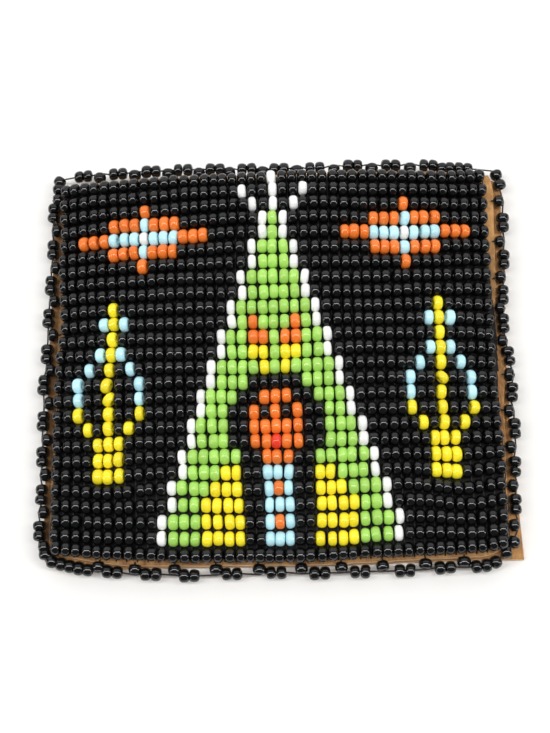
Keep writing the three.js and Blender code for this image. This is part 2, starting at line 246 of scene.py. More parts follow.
# Spread of the edging: along the edge, off it, upwards, in its turns and as a share of its sizes
PAIR_SPREAD = 0.2
OFFSET_SPREAD = 0.08
LIFT_SPREAD = 0.06
PAIR_SWING = 0.08
PAIR_LEAN = 0.05
EDGE_LENGTH_SPREAD = 0.04
EDGE_RADIUS_SPREAD = 0.03
STAND_SPREAD = 0.12
STAND_SWING = 0.1
STAND_LEAN = 0.06
STITCH_LEAN = 0.3

# Camera, as solved from the photograph
PHOTO_WIDTH = 550
FOCAL_PIXELS = 1200
CAMERA_DISTANCE = 190.8
CAMERA_TILT = 15.26
CAMERA_YAW = -1.3
CAMERA_ROLL = 1.32
CAMERA_SIDE = 0.234
CAMERA_RISE = -0.609
CLIP_START = 0.01

# Studio, in metres and watts: each lamp's size, place and power
LAMPS = {
    "sky_panel": ((3.0, 1.6), (0, 1.0, 0.75), 13),
    "top_strip": ((1.2, 0.115), (0, -0.03, 0.7), 5.0),
    "left_strip": ((0.115, 1.0), (-1.1, -0.3, 0.6), 3.8),
    "right_strip": ((0.115, 1.0), (1.1, -0.3, 0.6), 3.8),
}
WORLD_STRENGTH = 0.12
FLOOR_REACH = 2

# Colours, linear
BEAD_COLOURS = {
    "black": (0.003, 0.0032, 0.0036),
    "white": (0.93, 0.93, 0.91),
    "green": (0.385, 0.69, 0.125),
    "orange": (0.87, 0.195, 0.027),
    "yellow": (0.96, 0.79, 0.025),
    "blue": (0.52, 0.86, 0.95),
    "red": (0.72, 0.045, 0.018),
}
FIELD_COLOURS = [
    ("outline|centre", "white"),
    ("cover", "green"),
    ("orange|rim|face|button", "orange"),
    ("yellow|flap|stalk", "yellow"),
    ("core|shirt|bud|leaf", "blue"),
    ("mouth", "red"),
    ("ground|eye|hollow", "black"),
]
# Painted shade: a near-black colour for the leather under and between the beads, which only lies in shade
SUEDE_PAINTED_SHADE = (0.006, 0.005, 0.0045, 1)
SUEDE_DARK = (0.2, 0.08, 0.025, 1)
SUEDE_LIGHT = (0.65, 0.345, 0.125, 1)
CUT_EDGE = (0.72, 0.46, 0.22, 1)
FLOOR = (0.87, 0.865, 0.85, 1)
THREAD_DARK = (0.004, 0.004, 0.004, 1)
THREAD_LIGHT = (0.018, 0.017, 0.016, 1)
WHITE = (1, 1, 1, 1)
LOW_TONE = 0.88
HIGH_TONE = 1.06
TONE_LIFT = 0.002
PAINTED_SHADE_LIGHTER = 1.6
GRAIN_STRETCH = (1.0, 0.35, 1.0)
# Painted shade in bands along the front: how much of the colour is left in them, and the shares of the
# length where they come and go
BAND_SHADE = 0.7
BAND_SHADE_STOPS = [(0.04, True), (0.1, False), (0.4, False), (0.48, True), (0.74, True), (0.82, False)]
# Where the bands of painted shade are counted from and to along the bag, and where painted shade darkens
# the leather at the left seam, in metres
ALONG_BAG = {"From Min": -0.033, "From Max": 0.033}
# Painted shade at the left seam: the colour falls to half towards the leather's left edge
SEAM_SHADE = {"From Min": -0.0355, "From Max": -0.033, "To Min": 0.5, "To Max": 1.0}

bead_half_width = COLUMNS * COLUMN_PITCH / 2
bead_half_length = ROWS * ROW_PITCH / 2
half_width = bead_half_width + LEFT_RIM
foot = -bead_half_length - FOOT_RIM
lip = bead_half_length + LIP_RIM
seam_height = 2 * LEATHER + SEAT_GAP
edge_height = LEATHER + SEAT_GAP + EDGE_BEAD_RADIUS

# The solids are centred on their box, so the back panel says where the bag's own middle is
back_low, back_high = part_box("back_panel")
bag_middle = np.array([back_low.x / MM + half_width + BACK_RIM, back_low.y / MM - foot, 0])


def hump(x, height, place, reach):
    """A smooth rise of the given height round a place, dying away within its reach."""
    return height * np.exp(-(((x - place) / reach) ** 2))


def edge_of(side, t):
    """Where the front leather ends at the left (-1) and at the right (1)."""
    up = (t - foot) / (lip - foot)
    round_off = LIP_ROUND * np.maximum(0, 1 - (lip - t) / ROUND_REACH) ** 2
    wobble = sum(hump(up, *swelling) for swelling in RIGHT_WOBBLES)
    rim = RIGHT_RIM_FOOT + (RIGHT_RIM_LIP - RIGHT_RIM_FOOT) * up + wobble - round_off
    return np.where(np.asarray(side) < 0, -half_width, bead_half_width + rim)


def on_front(s, t, height=0.0):
    """Points over the front leather: s across, t up to the mouth, height above the leather."""
    s, t, height = np.broadcast_arrays(*(np.asarray(v, float) for v in (s, t, height)))
    across = np.minimum(1, np.abs(s / half_width))
    swell = BULGE * np.sin(math.pi * BULGE_TURN * (t - foot) / (lip - foot))
    roll = np.maximum(0, t - (lip - LIP_LENGTH)) / LIP_LENGTH
    steep = swell * BULGE_POWER / half_width
    drawn = steep**2 * across ** (2 * BULGE_POWER - 2) / (4 * BULGE_POWER - 2)
    tuck_from = np.where(s < 0, LEFT_TUCK_FROM, RIGHT_TUCK_FROM)
    outer = np.maximum(0, across - tuck_from) / (1 - tuck_from)
    tuck = CORNER_TUCK * outer**2 * np.exp((foot - t) / TUCK_REACH)
    rise = FOOT_CURVE * across**2 * (lip - t) / (lip - foot)
    drop = LIP_DROP * (1 - LIP_EASE * across**2)
    lift = LIP_CURVE * across**2 * roll**2 - 2 / 3 * drop**2 * roll**3 / LIP_LENGTH
    x = s * (1 - drawn) - np.sign(s) * TUCK_IN * tuck
    y = t + rise + tuck + lift
    z = seam_height + swell * (1 - across**BULGE_POWER) - drop * roll**2
    return np.stack([x, y, z + height], -1) + bag_middle


def unit(v):
    return v / np.linalg.norm(v, axis=-1, keepdims=True)


def front_axes(s, t):
    """The directions across, along and out of the front leather."""
    step = 0.05
    across = unit(on_front(s + step, t) - on_front(s - step, t))
    along = on_front(s, t + step) - on_front(s, t - step)
    out = unit(np.cross(across, along))
    return across, np.cross(out, across), out


# Which field each bead belongs to, by row from the mouth and column from the middle
# The tipi stands on the last row but one; rows inside it are counted up from its foot
TIPI_TIP = 4
STAR_ROW = 5
STAR_COLUMN = 13
PLANT_TOP = 10
PLANT_FOOT = 21
PLANT_COLUMN = 16
tipi_foot = ROWS - 1


def smoke_mark(up, off):
    """The mark of four rows over the doorway, on either side of the middle column."""
    inner = 2 if up == 14 else 1
    outer = 1 if up == 11 else 2
    return 11 <= up <= 14 and inner <= off <= outer


def doorway(up, off, side):
    """The figure in the doorway: a face over a shirt with two buttons."""
    head_reach = 1 if up in (5, 9) else 2
    if 5 <= up <= 9 and off <= head_reach:
        if up == 8 and off == 1:
            return f"eye_{side}"
        return "mouth_bead" if up == 6 and off == 0 else "face_beads"
    if up < 5 and off <= 1:
        buttons = {3: "shirt_button_upper", 1: "shirt_button_lower"}
        return buttons[up] if off == 0 and up in buttons else "shirt_beads"
    return "ground_beads"


def tipi(row, off, side):
    """The tipi: its outline steps out one column every two rows."""
    edge = (row - TIPI_TIP) // 2 + 1
    up = tipi_foot - row
    door_reach = min(12 - up, 4) if up > 5 else 3
    if off > edge:
        return None
    if off == edge:
        return "tipi_outline_beads"
    if smoke_mark(up, off):
        return f"smoke_mark_{'orange' if up > 12 else 'yellow'}_{side}"
    if up <= 10 and off <= door_reach:
        return doorway(up, off, side)
    if up < 5 and off <= min(9 - up, 7):
        return f"door_flap_{side}"
    return "tipi_cover_beads"


def star(row, off, side):
    """A star of five rows with a core in its rim."""
    rise, away = abs(row - STAR_ROW), abs(off - STAR_COLUMN)
    if rise > 2 or away > 6 - 3 * rise:
        return None
    if rise == 0 and away == 0:
        return f"star_{side}_centre"
    return f"star_{side}_core" if away <= 3 - 3 * rise else f"star_{side}_rim"


def plant(row, off, side):
    """A plant of twelve rows: a stalk with two buds, and leaves round the hollows beside it."""
    away, way = abs(off - PLANT_COLUMN), "inner" if off < PLANT_COLUMN else "outer"
    arm = min(row - 12, 3, 20 - row)
    if not PLANT_TOP <= row <= PLANT_FOOT or away > 3:
        return None
    if away == 0 or (row > 18 and away == 1):
        return f"plant_{side}_stalk"
    if row == 11 and away == 1:
        return f"plant_{side}_bud_{way}"
    if away == arm:
        return f"plant_{side}_leaf_{way}" if row < 17 else f"plant_{side}_stalk"
    return f"plant_{side}_hollow_{way}" if away < arm else None


def field_at(row, column):
    """The field of one bead: lodge poles, tipi, star, plant or the ground."""
    off, side = abs(column), "left" if column < 0 else "right"
    if row < TIPI_TIP and (off == 0 or (row > 1 and off == 5 - row)):
        return "tipi_outline_beads"
    inside = tipi(row, off, side) if TIPI_TIP <= row <= tipi_foot else None
    return inside or star(row, off, side) or plant(row, off, side) or "ground_beads"


def colour_of(field):
    return next(colour for words, colour in FIELD_COLOURS if re.search(words, field))


# Materials
def new_material(name):
    material = bpy.data.materials.new(name)
    material.use_nodes = True
    tree = material.node_tree
    return material, tree, tree.nodes["Principled BSDF"]


def add_node(tree, kind, inputs=(), **settings):
    node = tree.nodes.new(kind)
    for key, value in settings.items():
        setattr(node, key, value)
    for key, value in dict(inputs).items():
        node.inputs[key].default_value = value
    return node


def ramp(tree, source, stops):
    node = add_node(tree, "ShaderNodeValToRGB")
    while len(node.color_ramp.elements) < len(stops):
        node.color_ramp.elements.new(0.5)
    for element, (place, colour) in zip(node.color_ramp.elements, stops):
        element.position = place
        element.color = colour
    tree.links.new(source, node.inputs["Fac"])
    return node


def bead_material(colour):
    """Opaque glass: each bead has its own tone, with a faint unevenness in the gloss."""
    material, tree, shader = new_material(f"{colour}_glass")
    red, green, blue = BEAD_COLOURS[colour]
    tone = add_node(tree, "ShaderNodeAttribute", attribute_name="tone")
    low = tuple(LOW_TONE * c for c in (red, green, blue)) + (1,)
    high = tuple(min(1, HIGH_TONE * c + TONE_LIFT) for c in (red, green, blue)) + (1,)
    shade = ramp(tree, tone.outputs["Fac"], [(0, low), (1, high)])
    place = add_node(tree, "ShaderNodeTexCoord")
    speckle = add_node(tree, "ShaderNodeTexNoise", {"Scale": 2600, "Detail": 3})
    gloss = add_node(tree, "ShaderNodeMapRange", {"To Min": 0.03, "To Max": 0.10})
    bump = add_node(tree, "ShaderNodeBump", {"Strength": 0.06, "Distance": 0.0001})
    tree.links.new(place.outputs["Object"], speckle.inputs["Vector"])
    tree.links.new(speckle.outputs["Fac"], gloss.inputs["Value"])
    tree.links.new(speckle.outputs["Fac"], bump.inputs["Height"])
    tree.links.new(gloss.outputs["Result"], shader.inputs["Roughness"])
    tree.links.new(bump.outputs["Normal"], shader.inputs["Normal"])
    tree.links.new(shade.outputs["Color"], shader.inputs["Base Color"])
    shader.inputs["IOR"].default_value = 1.52
    return material


def suede_material(name, dark, light, nap, band_shade=1.0):
    """Soft leather: cloudy colour, a short nap and a little sheen, with painted shade darkening it at the
    left seam and, where asked, in bands along the bag.
    """
    material, tree, shader = new_material(name)
    place = add_node(tree, "ShaderNodeTexCoord")
    grain = add_node(tree, "ShaderNodeMapping", {"Scale": GRAIN_STRETCH})
    cloud = add_node(tree, "ShaderNodeTexNoise", {"Scale": 420, "Detail": 6, "Roughness": 0.6})
    fibre = add_node(tree, "ShaderNodeTexNoise", {"Scale": 3600, "Detail": 4, "Roughness": 0.7})
    mix = add_node(tree, "ShaderNodeMix", {"Factor": 0.45}, data_type="FLOAT")
    bump = add_node(tree, "ShaderNodeBump", {"Strength": nap, "Distance": 0.00025})
    tree.links.new(place.outputs["Object"], grain.inputs["Vector"])
    for node in (cloud, fibre):
        tree.links.new(grain.outputs["Vector"], node.inputs["Vector"])
    tree.links.new(cloud.outputs["Fac"], mix.inputs["A"])
    tree.links.new(fibre.outputs["Fac"], mix.inputs["B"])
    shade = ramp(tree, mix.outputs["Result"], [(0.34, dark), (0.62, light)])
    split = add_node(tree, "ShaderNodeSeparateXYZ")
    # Painted shade: the colour darkens towards the left seam
    seam_shade = add_node(tree, "ShaderNodeMapRange", SEAM_SHADE)
    # Painted shade in bands along the bag: the colour is multiplied down in the listed stretches
    level = add_node(tree, "ShaderNodeMapRange", ALONG_BAG)
    grey = (band_shade, band_shade, band_shade, 1)
    stops = [(share, grey if darkened else WHITE) for share, darkened in BAND_SHADE_STOPS]
    band_ramp = ramp(tree, level.outputs["Result"], stops)
    seam_shaded = add_node(tree, "ShaderNodeVectorMath", operation="MULTIPLY")
    band_shaded = add_node(tree, "ShaderNodeVectorMath", operation="MULTIPLY")
    tree.links.new(place.outputs["Object"], split.inputs["Vector"])
    tree.links.new(split.outputs["X"], seam_shade.inputs["Value"])
    tree.links.new(shade.outputs["Color"], seam_shaded.inputs[0])
    tree.links.new(seam_shade.outputs["Result"], seam_shaded.inputs[1])
    tree.links.new(split.outputs["Y"], level.inputs["Value"])
    tree.links.new(seam_shaded.outputs["Vector"], band_shaded.inputs[0])
    tree.links.new(band_ramp.outputs["Color"], band_shaded.inputs[1])
    tree.links.new(band_shaded.outputs["Vector"], shader.inputs["Base Color"])
    tree.links.new(mix.outputs["Result"], bump.inputs["Height"])
    tree.links.new(bump.outputs["Normal"], shader.inputs["Normal"])
    shader.inputs["Roughness"].default_value = 0.92
    shader.inputs["Sheen Weight"].default_value = 0.25
    shader.inputs["Sheen Roughness"].default_value = 0.5
    return material


def thread_material():
    """Waxed black thread with a fine twist."""
    material, tree, shader = new_material("black_thread")
    place = add_node(tree, "ShaderNodeTexCoord")
    twist = add_node(tree, "ShaderNodeTexNoise", {"Scale": 9000, "Detail": 2})
    bump = add_node(tree, "ShaderNodeBump", {"Strength": 0.5, "Distance": 0.00005})
    shade = ramp(tree, twist.outputs["Fac"], [(0.3, THREAD_DARK), (0.7, THREAD_LIGHT)])
    tree.links.new(place.outputs["Object"], twist.inputs["Vector"])
    tree.links.new(twist.outputs["Fac"], bump.inputs["Height"])
    tree.links.new(bump.outputs["Normal"], shader.inputs["Normal"])
    tree.links.new(shade.outputs["Color"], shader.inputs["Base Color"])
    shader.inputs["Roughness"].default_value = 0.6
    return material


GLASS = {colour: bead_material(colour) for colour in BEAD_COLOURS}
SUEDE = suede_material("brown_suede", SUEDE_DARK, SUEDE_LIGHT, 0.5)
# The front's suede, darkened by bands of painted shade along the bag
BAND_SHADED_SUEDE = suede_material("band_shaded_suede", SUEDE_DARK, SUEDE_LIGHT, 0.5, BAND_SHADE)
# Near-black suede under the beadwork: painted shade
SHADE_SUEDE = suede_material("painted_shade_suede", SUEDE_PAINTED_SHADE, tuple(PAINTED_SHADE_LIGHTER * c for c in SUEDE_PAINTED_SHADE), 0.4)
EDGE = suede_material("cut_leather_edge", SUEDE_LIGHT, CUT_EDGE, 0.7)
THREAD = thread_material()


# Pieces
def add_piece(name, points, faces, materials):
    """A smooth mesh that rides with the bag."""
    mesh = bpy.data.meshes.new(name)
    mesh.from_pydata((np.asarray(points) * MM).tolist(), [], [list(face) for face in faces])
    mesh.polygons.foreach_set("use_smooth", [True] * len(mesh.polygons))
    for material in materials:
        mesh.materials.append(material)
    mesh.update()
    piece = bpy.data.objects.new(name, mesh)
    bpy.context.scene.collection.objects.link(piece)
    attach(piece, "root")
    return piece


# A bead's section: distance along the hole and radius, each as a share, from one hole rim to the other
HALF_SECTION = [(0.46, 0.36), (0.5, 0.53), (0.455, 0.72), (0.36, 0.875), (0.2, 0.975)]
BEAD_SECTION = [(-x, r) for x, r in HALF_SECTION] + [(0, 1)] + HALF_SECTION[::-1]
BEAD_SIDES = 16


def bead_pattern():
    """Points and faces of a bead one unit long and one unit in radius, its hole along X."""
    turns = 2 * np.pi * np.arange(BEAD_SIDES) / BEAD_SIDES
    points = [(x, r * math.cos(a), r * math.sin(a)) for x, r in BEAD_SECTION for a in turns]
    faces = []
    for i in range(len(BEAD_SECTION)):
        here, there = i * BEAD_SIDES, (i + 1) % len(BEAD_SECTION) * BEAD_SIDES
        for k in range(BEAD_SIDES):
            n = (k + 1) % BEAD_SIDES
            faces.append((here + k, there + k, there + n, here + n))
    return np.array(points), np.array(faces)[:, ::-1]


PATTERN_POINTS, PATTERN_FACES = bead_pattern()


def turned(axes, swing, lean):
    """Bead axes turned a little about their third direction and then their second."""
    a, b, c = axes
    a, b = a * math.cos(swing) + b * math.sin(swing), b * math.cos(swing) - a * math.sin(swing)
    a, c = a * math.cos(lean) + c * math.sin(lean), c * math.cos(lean) - a * math.sin(lean)
    return a, b, c


def beads_piece(name, beads, colour):
    """One piece of many beads, each given as (middle, axes, length, radius)."""
    points, faces, tones = [], [], []
    for middle, (a, b, c), length, radius in beads:
        local = PATTERN_POINTS * (length, radius * draw.normal(1, OVAL_SPREAD), radius)
        local[:, 1:] *= 1 + draw.normal(0, TAPER_SPREAD) * PATTERN_POINTS[:, :1]
        faces.append(PATTERN_FACES + len(points) * len(PATTERN_POINTS))
        points.append(middle + local @ np.stack([a, b, c]))
        tones.append(np.full(len(PATTERN_POINTS), draw.random()))
    points, faces = np.concatenate(points), np.concatenate(faces)
    piece = add_piece(name, points, faces, [GLASS[colour]])
    tone = piece.data.attributes.new("tone", "FLOAT", "POINT")
    tone.data.foreach_set("value", np.concatenate(tones))
    return piece


# A thread steeper than this is turned about another direction
STEEP = 0.9
THREAD_SIDES = 6


def tube(path, radius=THREAD_RADIUS, sides=THREAD_SIDES):
    """Points and faces of a thread along a path, closed at both ends."""
    path = np.asarray(path, float)
    ahead = unit(np.gradient(path, axis=0))
    steep = np.abs(ahead[:, 2:]) > STEEP
    side = unit(np.cross(ahead, np.where(steep, [[1, 0, 0]], [[0, 0, 1]])))
    up = np.cross(side, ahead)
    turns = 2 * np.pi * np.arange(sides) / sides
    spokes = np.cos(turns)[:, None] * side[:, None] + np.sin(turns)[:, None] * up[:, None]
    rings = path[:, None] + radius * spokes
    faces = []
    for i in range(len(path) - 1):
        for k in range(sides):
            n = (k + 1) % sides
            faces.append([i * sides + k, i * sides + n, (i + 1) * sides + n, (i + 1) * sides + k])
    last = (len(path) - 1) * sides
    faces.append(list(range(sides))[::-1])
    faces.append(list(range(last, last + sides)))
    return rings.reshape(-1, 3), faces


def threads_piece(name, paths, radius=THREAD_RADIUS):
    """One piece of many threads."""
    points, faces, count = [], [], 0
    for path in paths:
        ring, quads = tube(path, radius)
        points.append(ring)
        faces.extend([[k + count for k in face] for face in quads])
        count += len(ring)
    return add_piece(name, np.concatenate(points), faces, [THREAD])


# The loom panel: where each bead lies, with the small waver of handwork
thread_level = SEAT_GAP / 2 + BEAD_RADIUS
row_slide = np.cumsum(draw.normal(0, ROW_SPREAD, ROWS))
row_slide -= row_slide.mean()


def drift(drifts, s, row):
    """The sum of the drifts of one kind at a place across and a row."""
    return sum(
        hump(s, moved, place, reach) * hump(row, 1, level, rows)
        for moved, place, level, reach, rows in drifts.values()
    )


def row_level(row):
    """How far up the leather the middle of a row would lie if the panel were even."""
    return bead_half_length - (row - 0.5) * ROW_PITCH


def row_line(row, s):
    """How far up the leather a row runs: waving, crowded at the lip, sagging then rising in the middle."""
    waved = sum(size * np.sin(across * s + down * row + start) for size, across, down, start in ROW_WAVES)
    sag = ROW_SAG * math.sin(2 * math.pi * (row - 1) / ROWS) * np.exp(-((s / SAG_REACH) ** SAG_POWER))
    crowded = LIP_CROWDING * math.exp(1 - row) * (1 - (s / half_width) ** 2)
    return row_level(row) + waved + drift(ROW_DRIFTS, s, row) - sag - crowded


def pulled(s, row):
    """Where a column runs once it is drawn aside."""
    return s + drift(COLUMN_DRIFTS, s, row)


def loom_place(row, column):
    """Place of a bead's middle on the leather, across and along."""
    s = pulled(column * COLUMN_PITCH + row_slide[row - 1] + draw.normal(0, COLUMN_SPREAD), row)
    return s, row_line(row, s) + draw.normal(0, LEVEL_SPREAD)


fields = {}
for row in range(1, ROWS + 1):
    for column in range(-(COLUMNS // 2), COLUMNS // 2 + 1):
        field = field_at(row, column)
        s, t = loom_place(row, column)
        slide, swing = TURNED_BEADS.get((row, column), (0, 0))
        s += slide
        colour = colour_of(field)
        radius = (BLACK_RADIUS if colour == "black" else BEAD_RADIUS) * draw.normal(1, RADIUS_SPREAD)
        length = BEAD_LENGTHS[colour] * draw.normal(1, LENGTH_SPREAD)
        swing += draw.normal(0, SWING_SPREAD)
        axes = turned(front_axes(s, t), swing, draw.normal(0, LEAN_SPREAD))
        middle = on_front(s, t) + axes[2] * thread_level
        half = "lower" if field == "ground_beads" and row > ROWS // 2 else "strung"
        fields.setdefault((half, field), []).append((middle, axes, length, radius))
for (half, field), beads in fields.items():
    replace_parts(beads_piece(f"{half}_{field}", beads, colour_of(field)), field)


# Warp threads between the columns, and the weft turning at the ends of the rows
warp_reach = bead_half_length - WARP_END
warp_along = np.linspace(-warp_reach, warp_reach, 2 * ROWS + 1)
warp_lift = np.full(len(warp_along), thread_level - WARP_DEPTH)
warp_lift[[0, -1]] = -WARP_SUNK
warp_rows = (bead_half_length - warp_along) / ROW_PITCH + 0.5
warps = []
for k in range(COLUMNS + 1):
    s = (k - COLUMNS / 2) * COLUMN_PITCH + draw.normal(0, COLUMN_SPREAD, len(warp_along))
    warps.append(on_front(pulled(s, warp_rows), warp_along, warp_lift))
threads_piece("warp_threads", warps, WARP_RADIUS)
wefts = []
for row in range(1, ROWS):
    side = 1 if row % 2 else -1
    bend = np.linspace(0, math.pi, WEFT_STEPS)
    s = pulled(side * (bead_half_width - WEFT_INSET + WEFT_BEND * np.sin(bend)), row + 0.5)
    t = row_line(row, s) + (row_line(row + 1, s) - row_line(row, s)) * (1 - np.cos(bend)) / 2
    wefts.append(on_front(s, t, thread_level))
threads_piece("weft_turns", wefts, WEFT_RADIUS)


# Leather sheets
def sheet_piece(name, upper, lower, bulge, face=SUEDE, shade_mask=None):
    """A leather sheet between two grids of points, with a rounded cut edge of its own material, and
    near-black painted shade on the faces inside the shade mask.
    """
    rows, columns = upper.shape[:2]
    index = np.arange(rows * columns).reshape(rows, columns)
    faces = []
    for grid, flip in ((index, False), (index + index.size, True)):
        quads = np.stack([grid[:-1, :-1], grid[:-1, 1:], grid[1:, 1:], grid[1:, :-1]], -1).reshape(-1, 4)
        faces.extend((quads[:, ::-1] if flip else quads).tolist())
    flat = len(faces)
    loop = np.concatenate([index[0, :-1], index[:-1, -1], index[-1, :0:-1], index[:0:-1, 0]])
    top, bottom = upper.reshape(-1, 3)[loop], lower.reshape(-1, 3)[loop]
    middle = upper.reshape(-1, 3).mean(0)
    out = unit(np.roll(top, -1, 0) - np.roll(top, 1, 0))
    out = unit(np.cross(out, [0, 0, 1]))
    out *= np.sign(np.sum(out * (top - middle), -1, keepdims=True))
    levels = [loop]
    extra = []
    for share in EDGE_SHARES:
        levels.append(2 * index.size + len(extra) * len(loop) + np.arange(len(loop)))
        extra.append(top + (bottom - top) * share + out * bulge * math.sin(math.pi * share))
    levels.append(loop + index.size)
    for above, below in zip(levels, levels[1:]):
        faces.extend(np.stack([below, np.roll(below, -1), np.roll(above, -1), above], -1).tolist())
    points = np.concatenate([upper.reshape(-1, 3), lower.reshape(-1, 3), *extra])
    piece = add_piece(name, points, faces, [face, EDGE, SHADE_SUEDE])
    cut = np.zeros(len(faces), np.int32)
    cut[flat:] = 1
    # Faces inside the mask take the near-black suede of painted shade
    if shade_mask is not None:
        under = shade_mask[:-1, :-1] & shade_mask[1:, 1:]
        cut[: under.size] = np.where(under.ravel(), 2, 0)
    piece.data.polygons.foreach_set("material_index", cut)
    return piece


def waver(x, y, seed, size):
    """Slow unevenness of hand-cut leather, about one millimetre to ten."""
    phases = np.random.default_rng(seed).uniform(0, 2 * math.pi, (len(WAVER_TURNS), 2))[:, 0]
    return size * sum(
        np.sin(a * x + b * y + phase) / (k + 1.5)
        for k, ((a, b), phase) in enumerate(zip(WAVER_TURNS, phases))
    )


# The front leather, a little thicker at the seams where it meets the back
share = np.sin(np.linspace(-math.pi / 2, math.pi / 2, FRONT_ACROSS))
along = np.concatenate([np.linspace(0, FRONT_END, FRONT_ALONG), np.linspace(LIP_START, 1, LIP_ALONG)])
U, V = np.meshgrid(share, along)
trim = np.where(U < 0, LEFT_TRIM, RIGHT_TRIM)
T = foot + V * (lip - trim * U**2 - foot) + waver(30 * U, 0 * U, 5, 0.1)
S = np.abs(U) * edge_of(U, T) * (1 + waver(T, 9 * np.sign(U), 3, 0.004))
near_seam = np.clip(1 - np.minimum((1 - np.abs(U)) * half_width, T - foot) / SEAM_REACH, 0, 1)
front_upper = on_front(S, T, waver(S, T, 7, 0.03) - FRONT_SUNK)
front_lower = on_front(S, T, waver(S, T, 8, 0.05) - LEATHER - SEAM_THICKER * near_seam**2)
# Painted shade on the front leather under the panel, stopping short of its left side and reaching past its
# right side
bare = hump(T, BARE_LEATHER, row_level(BARE_ROW), BARE_ROWS * ROW_PITCH)
shaded = hump(T, RIGHT_SHADE, row_level(SHADE_ROW), SHADE_ROWS * ROW_PITCH)
cover = bead_half_width + np.where(U < 0, -bare, shaded)
shade_mask = (np.abs(S) < cover) & (np.abs(T) < bead_half_length)
front_leather = sheet_piece("front_leather", front_upper, front_lower, FRONT_EDGE_ROUND, BAND_SHADED_SUEDE, shade_mask)
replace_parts(front_leather, "front_panel")

# The back leather, rounded at the lower left and wide at the lower right, its edges lifted by the sewing
back_left = -half_width - BACK_RIM
back_right = edge_of(1, foot) + BACK_CORNER
back_mouth = lip - BACK_SHORT
back_round = 2 * BACK_ROUND
back_upper_right = edge_of(1, lip - ROUND_REACH) + BACK_SIDE
round_steps = back_round * np.linspace(0, 1, CORNER_POINTS) ** 2
straight = np.linspace(back_left + back_round, back_right - back_round, BACK_ACROSS)
low_x = np.concatenate([back_left + round_steps[:-1], straight, (back_right - round_steps[:-1])[::-1]])
turn_in = np.sqrt(np.clip((low_x - back_left) / back_round, 0, 1))
low_y = foot + BACK_ROUND * (1 - turn_in) ** 2 + BACK_RISE * np.clip(low_x / back_right, 0, 1)
A, B = np.meshgrid((low_x - back_left) / (back_right - back_left), np.linspace(0, 1, BACK_ALONG))
right_side = back_right + B * (back_upper_right - back_right) - 4 * BACK_BOW * B * (1 - B)
X = back_left + A * (right_side - back_left)
turn_off = np.sqrt(np.clip((1 - A) * (back_upper_right - back_left) / (2 * BACK_TURN), 0, 1))
Y = low_y + B * (back_mouth + BACK_SLANT * A - BACK_TURN * (1 - turn_off) ** 2 - low_y)
X = X + waver(Y, 0 * Y, 13, 0.1)
Y = Y + waver(X, 0 * X, 15, 0.08)
inset = np.minimum(np.minimum(A, 1 - A) * 2 * half_width, np.minimum(B, 1 - B) * (back_mouth - foot))
lifted = SEWN_LIFT * np.clip(1 - inset / LIFT_REACH, 0, 1) ** 2
back_upper = np.stack([X, Y, LEATHER - BACK_SUNK + waver(X, Y, 17, 0.02)], -1) + bag_middle
back_lower = np.stack([X, Y, lifted + np.abs(waver(X, Y, 19, 0.03))], -1) + bag_middle
back_leather = sheet_piece("back_leather", back_upper, back_lower, BACK_EDGE_ROUND)
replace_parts(back_leather, "back_panel")


# Beaded edging: two beads side by side, then one standing against the leather, on one thread
UP = np.array([0.0, 0.0, 1.0])
side_reach = (lip - foot) / 2
foot_corner = side_reach + PAIR_OFFSET * math.pi / 4
foot_length = 2 * half_width - EDGE_BEAD_LENGTH


def side_edge(way):
    """The leather's edge at the left (-1) or right (1), turning round its corners, and the way outwards."""

    def at(along):
        over = max(0, abs(along) - side_reach)
        t = (foot + lip) / 2 - way * math.copysign(abs(along) - over, along)
        place = on_front(edge_of(way, t), t)
        place[2] = edge_height
        turn = over / PAIR_OFFSET
        end = -1 if way * along > 0 else 1
        return place, np.array([way * math.cos(turn), end * math.sin(turn), 0])

    return at


def foot_edge(along):
    """The leather's edge at the foot, from right to left."""
    return on_front(-along, foot, edge_height - seam_height), np.array([0.0, -1.0, 0.0])


def lip_edge(along):
    """The leather's edge at the lip, from left to right."""
    return on_front(along, lip, -LEATHER / 2), np.array([0.0, 1.0, 0.0])


def pair_middles(stitches, length):
    """Middles of the pairs, evenly spaced but for the spread of handwork."""
    even = ((np.arange(stitches) + 0.5) / stitches - 0.5) * length
    return list(even + draw.normal(0, PAIR_SPREAD, stitches))


def group(middle, count=2, spacing=BEAD_SPACING, offset=PAIR_OFFSET, slipped=0.0):
    """Beads strung side by side: places along the edge, how far off it, and how far they have slipped."""
    places = [middle + slipped + (k - (count - 1) / 2) * spacing for k in range(count)]
    return places, offset, slipped


